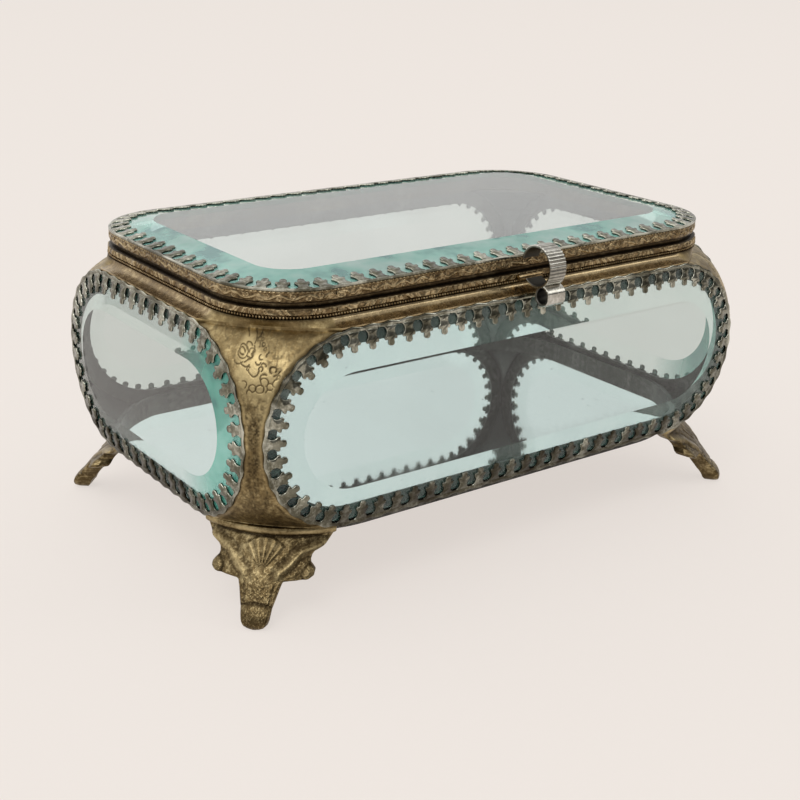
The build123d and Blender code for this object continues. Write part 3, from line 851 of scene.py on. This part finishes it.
POST_ARCS = [  # centre across and up and radius in millimetres, first and last angle in degrees
    (-2.6, 62.2, 1.17, -35, 100), (-4.2, 62.1, 1.15, 20, 60), (-3.7, 60, 1.08, 0, 360),
    (-3.9, 60.1, 0.53, 0, 300), (-3.6, 60.3, 2.17, -75, 25), (-2.6, 61, 0.58, 20, 240),
    (-1.8, 60.2, 0.58, -60, 200), (-2.2, 59.5, 0.48, 180, 380), (-4.3, 58.7, 1, 210, 330),
    (-2.8, 58.5, 1.08, 200, 320), (-1, 61.4, 0.6, -30, 60), (-0.5, 62.7, 0.25, 0, 360),
    (-0.1, 62.1, 0.25, 0, 360), (0.3, 61.4, 0.28, 0, 360), (0.8, 60.7, 0.28, 0, 360),
    (-0.6, 62.2, 0.58, 140, 220), (-0.7, 57, 1.15, 180, 350), (-2, 57.1, 0.38, 40, 260),
    (0.7, 57.1, 0.42, -60, 200), (1.2, 57.6, 0.5, 10, 150), (0, 58.5, 0.65, 200, 330),
    (0.5, 59.2, 0.48, 120, 300), (1.9, 59.7, 0.55, 120, 220), (3.2, 57, 0.58, 60, 250),
    (3.3, 57.2, 0.45, -40, 60), (1.6, 55.5, 0.75, 60, 200), (-0.6, 53.6, 0.67, 0, 360),
    (0.8, 53.6, 0.83, 0, 360), (1.7, 54.8, 0.75, -60, 230), (2.9, 54.1, 0.65, 60, 330),
    (4.2, 54.8, 0.88, 30, 300), (5.1, 55.9, 1.1, 120, 200), (-1.2, 52.6, 0.53, 30, 200),
    (2.8, 52.9, 0.68, 20, 170), (-2.6, 54.1, 0.68, -60, 120), (4.1, 55.8, 0.62, 20, 160),
]
POST_BRIGHT = [  # centre and radius of the polished places
    (-2.9, 62.2, 1.6), (-2.6, 60, 2.7), (-1.6, 57.4, 3.2), (0.2, 54.6, 3.6), (2.6, 54.8, 2.4),
]


def nearest(across, height, dots):
    """Distance of each point to the nearest dot."""
    return np.hypot(across[..., None] - dots[:, 0], height[..., None] - dots[:, 1]).min(axis=-1)


def post_lines(across, height):
    """Distance to the nearest etched line, in millimetres."""
    gap = np.full(across.shape, 9.0)
    for x, y, radius, first, last in POST_ARCS:
        turn = np.radians(np.linspace(first, last, max(8, int(radius * abs(last - first) / 6))))
        line = np.array([x, y]) + radius * around(turn)
        near = (np.abs(across - line[:, 0].mean()) < 5) & (np.abs(height - line[:, 1].mean()) < 5)
        gap[near] = np.minimum(gap[near], nearest(across[near], height[near], line))
    return gap


def post_relief(across, height, edge, seed):
    """Relief in metres and tones of a post's face, from distances across it, up it and to its edge."""
    wide, tall = across / MM, height / MM
    ground = grain(across, height, 0.34 * MM, seed)
    lumps = grain(across, height, 1.6 * MM, seed + 1)
    drift = grain(across, height, 6.0 * MM, seed + 2)
    streaks = grain(across, height * 0.25, 0.6 * MM, seed + 3)
    bright = np.zeros(across.shape)
    for x, y, radius in POST_BRIGHT:
        reach = np.hypot(wide - x, tall - y) + 0.9 * lumps
        bright = np.maximum(bright, 1 - smooth(radius - 1.2, radius + 0.8, reach))
    bent = 0.2 * grain(across, height, 0.8 * MM, seed + 4)
    line = ridge(post_lines(wide + bent, tall - bent), 0.13)
    # a painted shadow line along the post's edge beside the claws
    seam = ridge(edge - 0.1 * MM, 0.3 * MM)
    roll = ridge(edge - 0.85 * MM, 0.55 * MM)
    field = smooth(0.4 * MM, 1.2 * MM, edge)
    # The upper part, which faces the light, gets painted highlights, and the lower part painted shade.
    upper = smooth(40 * MM, 52 * MM, height)
    # a painted highlight band on one side's rolled edge, round the waist
    sheen_band = ridge(height - POST_SHEEN_HEIGHT, 8 * MM) * (wide > 0)
    chased = 0.03 * bright - 0.1 * line + 0.03 * ground * (1 - 0.7 * bright) + 0.03 * lumps
    relief = 0.12 * roll + field * chased
    plain = 1 - bright
    stained = 0.10 + 0.32 * ground - 0.14 * lumps - 0.1 * drift
    grime_and_shade = 0.55 * seam + field * (0.62 * line + plain * stained)
    # painted shade round the waist and over the lower part
    waist_shade = ridge(height - POST_SHADE_HEIGHT, 8 * MM)
    grime_and_shade += (1 - upper) * field * (0.16 + 0.2 * streaks) + field * waist_shade * (0.34 + 0.15 * streaks)
    filigree = ridge(grain(across, height, 1.1 * MM, seed + 5), 0.2)
    filigree *= smooth(-0.2, 0.4, drift + 0.6 * lumps)
    grime_and_shade += field * plain * upper * 0.34 * filigree
    # painted highlight over the plain upper face, patchy by place
    upper_sheen = 0.06 + 0.2 * lumps + 0.16 * drift + 0.2 * ground
    wear_and_highlight = field * upper * (0.62 * bright * (1 - line) + plain * upper_sheen)
    wear_and_highlight *= 1 - 0.6 * waist_shade
    wear_and_highlight += roll * (0.05 + 1.1 * sheen_band) * (0.7 + 0.4 * streaks)
    return relief * MM, np.clip(grime_and_shade, 0, 0.9), np.clip(wear_and_highlight, 0, 0.9)


def at_corner(forward, sideways, height, signs):
    """Points at one corner: out along its diagonal from where its faces would meet, across and up."""
    x = (case_half[0] + (forward - sideways) * sqrt(0.5)) * signs[0]
    y = middle_y + (case_half[1] + (forward + sideways) * sqrt(0.5)) * signs[1]
    return np.stack(np.broadcast_arrays(x, y, height), axis=2)


def etched_post(name, signs, seed):
    """One stamped corner post with etched scrolls, a shallow arc that flares out to the foot's cap."""
    turn = np.concatenate([
        [-POST_REACH], np.linspace(-POST_REACH, 0, POST_LOWER_ROWS, endpoint=False),
        np.linspace(0, POST_REACH, POST_UPPER_ROWS), [POST_REACH]])
    reach = (corner_gap + panel_radius * (1 - np.cos(turn)))[:, None]
    height = panel_middle + panel_radius * np.sin(turn)
    height[0] = foot_top + 0.05 * MM
    height[-1] = neck_low[2] + 0.02 * MM
    height = height[:, None]

    def skin(offset, share):
        forward, sideways, lean, _ = corner_arc(POST_BULGE, share)
        out = forward * reach + offset * np.cos(lean)
        return at_corner(out, sideways * reach + offset * np.sin(lean), height, signs)

    share = np.linspace(-1, 1, POST_COLUMNS)[None, :]
    across = corner_arc(POST_BULGE, share)[3] * reach
    gap = np.abs(across[:, :1]) - np.abs(across)
    level = height + 0 * across
    edge = np.hypot(panel_radius * np.cos(turn)[:, None] + gap, level - panel_middle) - panel_radius
    relief, grime_and_shade, wear_and_highlight = post_relief(across * signs[0] * signs[1], level, edge, seed)
    flare = (1 - smooth(0, 1.7 * MM, height - height[0])) * (1 - smooth(0.72, 1.0, np.abs(share)))
    outer = skin(relief + POST_FLARE * flare, share)
    inner = skin(-POST_SHEET, np.linspace(1, -1, POST_BACK_COLUMNS)[None, :])
    points = np.concatenate([outer, inner, outer[:, :1]], axis=1)
    plain = np.zeros((len(height), POST_BACK_COLUMNS + 1))
    # the inner skin is painted dark grey: painted shade inside the case
    inside = plain + 1
    inside[:, -1] = 0
    tones = {"grime_and_shade": np.concatenate([grime_and_shade, plain], axis=1),
             "wear_and_highlight": np.concatenate([wear_and_highlight, plain], axis=1),
             "inner": np.concatenate([0 * wear_and_highlight, inside], axis=1)}
    return sheet(name, points, tones)


# Feet

FOOT_CONTOUR = [  # height and half width, in millimetres
    (0, 1), (0.2, 1.8), (0.6, 2.5), (1.2, 3), (2, 3.3), (3, 3.45), (4.2, 3.6), (5.4, 4),
    (7.5, 4.65), (8.7, 5.1), (9.05, 5.7), (9.2, 8.3), (9.3, 9.6), (9.6, 10.9), (10.2, 12),
    (10.9, 12.1), (11.5, 11.5), (12, 10.9), (12.6, 10.7), (13.4, 10.9), (14.1, 11.5), (14.6, 12.7),
    (15.2, 13.9), (16.2, 14.7), (17.1, 15.4), (17.4, 15.9), (18.9, 15.9),
]
FOOT_LEAN = [  # height and distance in from the line where two case faces would meet
    (0, 0.9), (0.4, 0.55), (1, 0.4), (2, 0.5), (3, 0.95), (4.2, 1.8), (5.3, 2.7), (7.1, 4.2),
    (9, 5.6), (10.5, 6.8), (13, 9), (16.5, 12), (18.9, 12),
]
FOOT_SCROLL = [  # across and up
    (12.6, 15.1), (10.1, 14.5), (8.2, 14), (7.1, 13.1), (6.2, 12.1), (4, 10.5), (3.6, 8.4),
]
FOOT_VOLUTE = (10.5, 10.5)


def foot_relief(across, height, seed):
    """Relief in metres and tones of a foot's front, from millimetres across and up."""
    side = np.abs(across)
    grit = grain(across, height, 0.3, seed)
    fine = grain(across, height, 0.16, seed + 1)
    lumps = grain(across, height, 1.4, seed + 2)
    drift = grain(across, 0 * height, 4.5, seed + 3)
    cap = dome((height - FOOT_CAP) / 0.95)
    groove = ridge(height - FOOT_GROOVE, 0.3) * (1 - smooth(11, 14, side))
    spoke = np.arctan2(across, height - FOOT_FAN)
    fan_reach = np.hypot(across, height - FOOT_FAN)
    fan = smooth(0.5, 1.8, fan_reach) * (1 - smooth(5.8, 6.3, fan_reach))
    fan *= 1 - smooth(0.7, 0.85, np.abs(spoke))
    ribs = fan * np.abs(np.cos(spoke * 9.0)) ** 0.8
    run = np.linspace(0, len(FOOT_SCROLL) - 1, SCROLL_STATIONS)
    scroll = [np.interp(run, np.arange(len(FOOT_SCROLL)), place) for place in zip(*FOOT_SCROLL)]
    scroll_gap = nearest(side, height, np.stack(scroll, axis=1))
    fade = smooth(8.2, 10.5, height)
    scrolls = ridge(scroll_gap, 0.75) * fade
    moat = ridge(scroll_gap - 1.35, 0.35) * fade
    volute = np.hypot(side - FOOT_VOLUTE[0], height - FOOT_VOLUTE[1])
    ball = dome(volute / 1.6)
    leg = 1 - smooth(8.2, 9.2, height)
    rail = leg * ridge(side - 2.6 - 0.18 * (height - 4), 0.3) * smooth(4.8, 5.6, height)
    toe_line = height - 4.6 - 0.6 * (1 - (across / 3.6) ** 2)
    toe = 1 - smooth(-0.25, 0.25, toe_line)
    toe_groove = ridge(toe_line, 0.24) * (side < 3.6)
    swell = dome(side / 4.4)
    pad = np.sqrt(np.clip(1 - (side / 3.9) ** 2 - ((height - 2.4) / 3.0) ** 2, 0, 1))
    field = (1 - cap) * (1 - 0.7 * fan) * (1 - scrolls)
    relief = 0.6 * cap - 0.25 * groove + 0.26 * ribs + 0.45 * scrolls - 0.12 * moat + 0.9 * ball
    relief += 0.75 * toe * pad - 0.2 * toe_groove + leg * (1 - toe) * 0.35 * swell - 0.12 * rail
    relief += field * (0.05 * grit + 0.035 * fine + 0.05 * lumps)
    # grime and painted shade in the grooves, the fan, round the scrolls and round the volutes; the line
    # under the cap is a painted shadow
    grime_and_shade = 0.8 * groove + 0.6 * toe_groove + 0.4 * moat + fan * (0.4 - 0.5 * ribs) + 0.35 * rail
    grime_and_shade += field * (0.12 - 0.2 * grit - 0.15 * fine - 0.12 * lumps)
    grime_and_shade += 0.45 * ridge(volute - 1.7, 0.25)
    # painted highlight along the cap's lip, patchy along it, and painted highlights on the scrolls and
    # volutes
    cap_highlight = np.clip(0.36 + 0.5 * drift + 0.25 * grit, 0.04, 1)
    wear_and_highlight = cap_highlight * cap * smooth(17.3, 18.0, height) * (1 - smooth(18.3, 18.9, height))
    wear_and_highlight += 0.5 * scrolls * (0.7 + 0.6 * grit) + 0.08 * ribs + 0.18 * ball
    wear_and_highlight += field * np.clip(0.2 * grit + 0.42 * fine - 0.05, 0, 1)
    return relief * MM, np.clip(grime_and_shade, 0, 0.85), np.clip(wear_and_highlight, 0, 0.85)


def cast_foot(name, signs, seed):
    """One cast foot that leans outwards: cap bar, fan, scrolls with volutes, grained leg and toe."""
    contour, lean = np.array(FOOT_CONTOUR), np.array(FOOT_LEAN)
    top = foot_top / MM
    height = np.linspace(0, top, FOOT_ROWS)
    half = np.interp(height, contour[:, 0], contour[:, 1])
    inset = np.interp(height, lean[:, 0], lean[:, 1])
    window = 2 * FOOT_SMOOTHING + 1
    padded = np.pad(inset, FOOT_SMOOTHING, mode="edge")
    inset = np.convolve(padded, np.full(window, 1 / window), "valid")[:, None] * MM
    thick = np.interp(height, [0, 1.2, 4, 10, top], [1.8, 3.0, 3.6, 3.0, 2.4])[:, None] * MM
    share = np.linspace(-1, 1, FOOT_COLUMNS)
    across = half[:, None] * np.sin(share * pi / 2)[None, :]
    level = height[:, None] + 0 * across
    relief, grime_and_shade, wear_and_highlight = foot_relief(across * signs[0] * signs[1], level, seed)
    rim_gap = half[:, None] - np.abs(across)
    shown = relief * smooth(0, 0.6, rim_gap) - FOOT_EDGE * MM * rounded(rim_gap / FOOT_EDGE)

    def skin(offset, flat):
        turn = flat * MM / FOOT_CURVE
        out = FOOT_CURVE + offset
        forward = out * np.cos(turn) - FOOT_CURVE - inset
        return at_corner(forward, out * np.sin(turn), height[:, None] * MM, signs)

    back = half[:, None] * np.linspace(0.96, -0.96, FOOT_BACK_COLUMNS)[None, :]
    front_skin = skin(shown, across)
    back_skin = skin(-thick - FOOT_EDGE * MM, back)
    points = np.concatenate([front_skin, back_skin, front_skin[:, :1]], axis=1)
    plain = np.zeros((FOOT_ROWS, FOOT_BACK_COLUMNS + 1))
    # painted shade on the foot's back
    tones = {"grime_and_shade": np.concatenate([grime_and_shade, plain + 0.35], axis=1),
             "wear_and_highlight": np.concatenate([wear_and_highlight, plain], axis=1)}
    return sheet(name, points, tones)


# Clasp

def strap(name, path, normals, widths, ribs):
    """A flat strap along a path seen from the side, ribbed on its outer face."""
    middle_x = (clasp_low[0] + clasp_high[0]) / 2
    edge, inner = CLASP_EDGE, -CLASP_SHEET / 2
    # share of painted shade at each point of the section, strongest on the inner face
    inside = np.array([0, 0, 0, 0, 0, 0.7, 0.95, 0.95, 0.95, 0.7, 0])
    rows = []
    for (y, z), (ny, nz), width, rib in zip(path, normals, widths, ribs):
        half = width / 2
        outer = CLASP_SHEET / 2 + rib
        section = [(-half, outer - edge), (-half + edge, outer), (0, outer), (half - edge, outer),
                   (half, outer - edge), (half, edge + inner), (half - edge, inner),
                   (0, inner), (edge - half, inner), (-half, edge + inner)]
        section.append(section[0])
        rows.append([(middle_x + x, y + ny * out, z + nz * out) for x, out in section])
    # painted shade on the inner face, and darker in the rib grooves
    grime_and_shade = inside + np.minimum(ribs, 0)[:, None] / (-0.2 * MM) * (inside == 0)
    return sheet(name, np.array(rows), {"grime_and_shade": grime_and_shade})


def clasp():
    """The spring clasp: a loop from the lid's face, ribbed over its front, and a rolled thumb lip."""
    loop_y = clasp_low[1] + CLASP_LOOP_RADIUS + CLASP_SHEET / 2
    loop_z = clasp_high[2] - CLASP_LOOP_RADIUS - CLASP_SHEET / 2
    width = clasp_high[0] - clasp_low[0]
    turn = np.radians(np.linspace(*CLASP_LOOP_ANGLES, CLASP_LOOP_STATIONS))
    normals = around(turn)
    path = np.array([loop_y, loop_z]) + CLASP_LOOP_RADIUS * normals
    ribbed = smooth(radians(66), radians(76), turn) * (1 - smooth(radians(206), radians(216), turn))
    rib_turn = pi * turn * CLASP_LOOP_RADIUS / CLASP_RIB_PITCH
    ribs = CLASP_RIB_DEPTH * (np.abs(np.sin(rib_turn)) - 1) * ribbed
    loop = strap("clasp_loop", path, normals, np.full(len(turn), width), ribs)
    lip_z = clasp_low[2] + CLASP_LIP_RADIUS + CLASP_SHEET / 2
    reach = CLASP_LOOP_RADIUS + CLASP_LIP_RADIUS
    lip_y = loop_y - np.sqrt(reach ** 2 - (loop_z - lip_z) ** 2)
    start = np.arctan2(loop_z - lip_z, loop_y - lip_y)
    lip_turn = np.linspace(start, start - CLASP_LIP_TURN, CLASP_LIP_STATIONS)
    lip_normals = around(lip_turn)
    lip_path = np.array([lip_y, lip_z]) + CLASP_LIP_RADIUS * lip_normals
    lip_path[:, 0] = np.maximum(lip_path[:, 0], clasp_low[1] + CLASP_SHEET / 2)
    flare = width + CLASP_LIP_FLARE * smooth(0, 1, np.linspace(0, 2, CLASP_LIP_STATIONS))
    lip = strap("clasp_lip", lip_path, lip_normals, flare, np.zeros(CLASP_LIP_STATIONS))
    return joined("clasp", loop, lip)


# The pieces

CORNERS = {"back_right": (1, 1), "back_left": (-1, 1), "front_right": (1, -1), "front_left": (-1, -1)}

finish_piece(lid_band(), "lid", "gilt_brass", "lid_rim")
finish_piece(rim_band(), "case", "gilt_brass", "upper_rim")
finish_cove(cove())
lid_claws = claw_strip("lid_claws", LID_FACE, *lid_half, LID_CORNER, 0.0)
finish_piece(lid_claws, "lid", "claw_metal", "lid_claw_strip")
lid_pane = pane("lid_pane", "lid_glass", LID_FACE, lid_half, LID_CORNER, LID_BEVEL, 0, 2)
finish_pane(lid_pane, "lid", lid_bevel, "lid_glass")
for side, face in PANEL_FACES.items():
    seat = Face(face.middle + face.out * (claw_proud - CLAW_SHEET), face.along, face.up, face.out)
    outline = (panel_half(side), panel_radius)
    claws = claw_strip(side + "_claws", seat, *outline, panel_radius, PANEL_SCALLOP)
    finish_piece(claws, "case", "claw_metal", side + "_claw_strip")
    axes, bevel_finish = ((0, 1), long_bevel) if side in LONG_SIDES else ((1, 0), end_bevel)
    made = pane(side + "_pane", side + "_glass", face, outline, panel_radius, PANEL_BEVEL, *axes)
    finish_pane(made, "case", bevel_finish, side + "_glass")
for seed, (corner, signs) in enumerate(CORNERS.items()):
    post = etched_post("etched_post_" + corner, signs, POST_SEED + seed)
    finish_piece(post, "case", "etched_brass", "corner_post_" + corner)
    foot = cast_foot("cast_foot_" + corner, signs, FOOT_SEED + seed)
    finish_piece(foot, "case", "cast_brass", "foot_" + corner)
finish_piece(clasp(), "clasp", "clasp_silver", "clasp_strap")

CAD_FINISHES = {
    "gilt_brass": ["bottom_plate", "hinge_leaf_case", "hinge_leaf_lid", "catch_stud"],
    "frame_metal": ["bottom_frame", *(side + "_panel_frame" for side in PANEL_FACES)],
    "pin_steel": ["hinge_pin"],
    "mirror_floor": ["bottom_mirror"],
}
for finish, nodes in CAD_FINISHES.items():
    for node in nodes:
        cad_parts[node].data.materials.clear()
        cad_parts[node].data.materials.append(finishes[finish])


# Floor, light and camera

def studio():
    """A pale paper floor, soft lamps, and a surround that is brighter behind the casket."""
    bpy.ops.object.select_all(action="DESELECT")
    bpy.ops.mesh.primitive_plane_add(size=FLOOR_SIZE)
    floor = bpy.context.object
    floor.name = "floor"
    f = new_finish("floor_paper")
    paper = f.node("ShaderNodeBsdfDiffuse", {
        "Color": f.mix(f.noise(900, 3), PAPER, np.multiply(0.97, PAPER))})
    camera_ray, glossy_ray, transmission_ray = (
        f.node("ShaderNodeLightPath", output=f"Is {kind} Ray")
        for kind in ("Camera", "Glossy", "Transmission"))
    seen = (camera_ray + glossy_ray + transmission_ray).clamp(0, 1)
    glow = f.node("ShaderNodeEmission", {"Color": (*PAPER_SEEN, 1), "Strength": 1.0})
    flat = f.node("ShaderNodeMixShader", {0: seen * PAPER_FLAT, 1: paper, 2: glow})
    floor.data.materials.append(f.done(flat))

    bpy.context.scene.world = bpy.data.worlds.new("studio")
    f = Finish(bpy.context.scene.world)
    direction = f.node("ShaderNodeTexCoord", output="Generated")
    right, behind, above = (
        f.node("ShaderNodeSeparateXYZ", {0: direction}, output=axis) for axis in "XYZ")
    to_back, to_top, to_left = SURROUND_GROWTH
    level = behind * to_back + above * to_top + SURROUND_LEVEL - right * to_left
    level = level.clamp(*SURROUND_LIMITS)
    light = f.node("ShaderNodeBackground", {"Color": (*SURROUND, 1), "Strength": level})
    f.done(light, "ShaderNodeOutputWorld")

    for name, (place, size, power) in LAMPS.items():
        bpy.ops.object.light_add(type="AREA", location=place)
        light = bpy.context.object
        light.name = name
        light.data.shape = "RECTANGLE"
        light.data.size, light.data.size_y = size
        light.data.energy = power
        light.rotation_euler = (LAMP_AIM - Vector(place)).to_track_quat("-Z", "Y").to_euler()


def camera():
    """The photograph's viewpoint."""
    view = bpy.data.cameras.new("camera")
    holder = bpy.data.objects.new("camera", view)
    bpy.context.collection.objects.link(holder)
    ahead = cos(CAMERA_PITCH)
    forward = Vector((sin(CAMERA_YAW) * ahead, cos(CAMERA_YAW) * ahead, -sin(CAMERA_PITCH)))
    level = Vector((cos(CAMERA_YAW), -sin(CAMERA_YAW), 0))
    rise = level.cross(forward)
    right = cos(CAMERA_ROLL) * level + sin(CAMERA_ROLL) * rise
    up = cos(CAMERA_ROLL) * rise - sin(CAMERA_ROLL) * level
    turned = Matrix((right, up, -forward)).transposed().to_4x4()
    holder.matrix_world = Matrix.Translation(CAMERA_PLACE) @ turned
    view.lens = CAMERA_LENS
    view.shift_x = CAMERA_SHIFT
    view.clip_start, view.clip_end = 0.01, 20.0
    bpy.context.scene.camera = holder


studio()
camera()
bpy.context.scene.view_settings.view_transform = "Standard"
